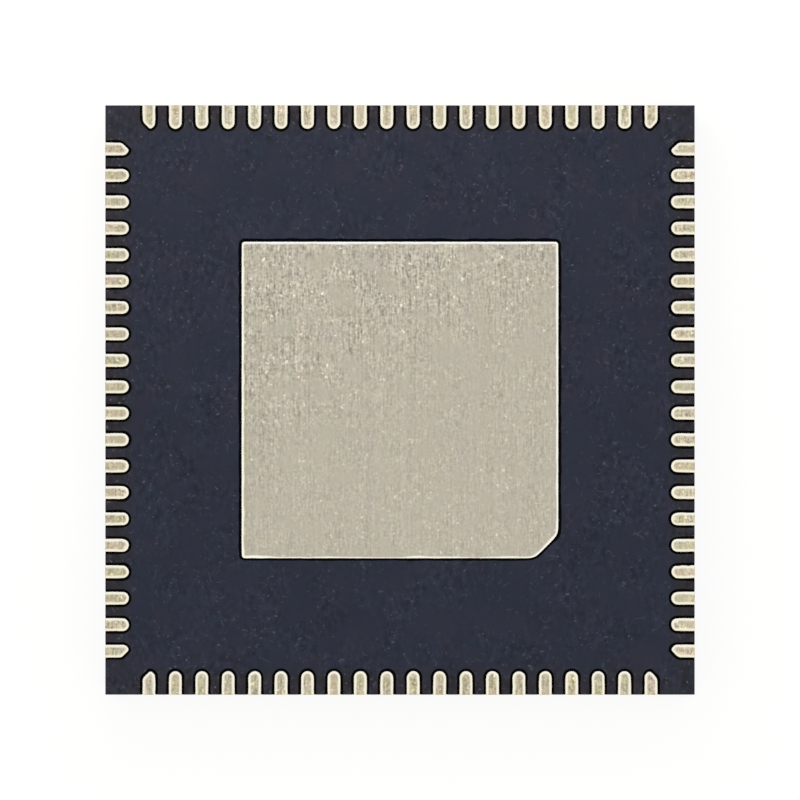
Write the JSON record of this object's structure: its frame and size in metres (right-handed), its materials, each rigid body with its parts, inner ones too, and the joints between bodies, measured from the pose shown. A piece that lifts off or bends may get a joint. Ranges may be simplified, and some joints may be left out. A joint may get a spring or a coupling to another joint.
{
  "type": "quad flat no-lead video output chip",
  "caption": "Square flat no-lead chip package, terminals up: flush lands along all sides, an exposed pad with a chamfered corner, and the die and bond wires inside.",
  "frame": {"origin": "centre of the marked face, which the chip lies on", "axes": "+Z out of the terminal face; +X right and +Y up when looking down on the terminals with the pad's chamfered corner at the lower right"},
  "size_m": [0.009, 0.009, 0.0009],
  "materials": {
    "mould_compound": "moulded matte epoxy",
    "plated_frame": "plated rolled copper strip, satin",
    "silicon": "polished",
    "die_adhesive": "cured silver-filled epoxy",
    "bond_wire": "drawn gold wire"
  },
  "bodies": {
    "root": {"mould_body": "mould_compound", "die_paddle": "plated_frame", "silicon_die": "silicon", "die_adhesive": "die_adhesive", "terminals_north": "plated_frame", "terminals_west": "plated_frame", "terminals_south": "plated_frame", "terminals_east": "plated_frame", "bond_wires_north": "bond_wire", "bond_wires_west": "bond_wire", "bond_wires_south": "bond_wire", "bond_wires_east": "bond_wire"}
  },
  "joints": []
}
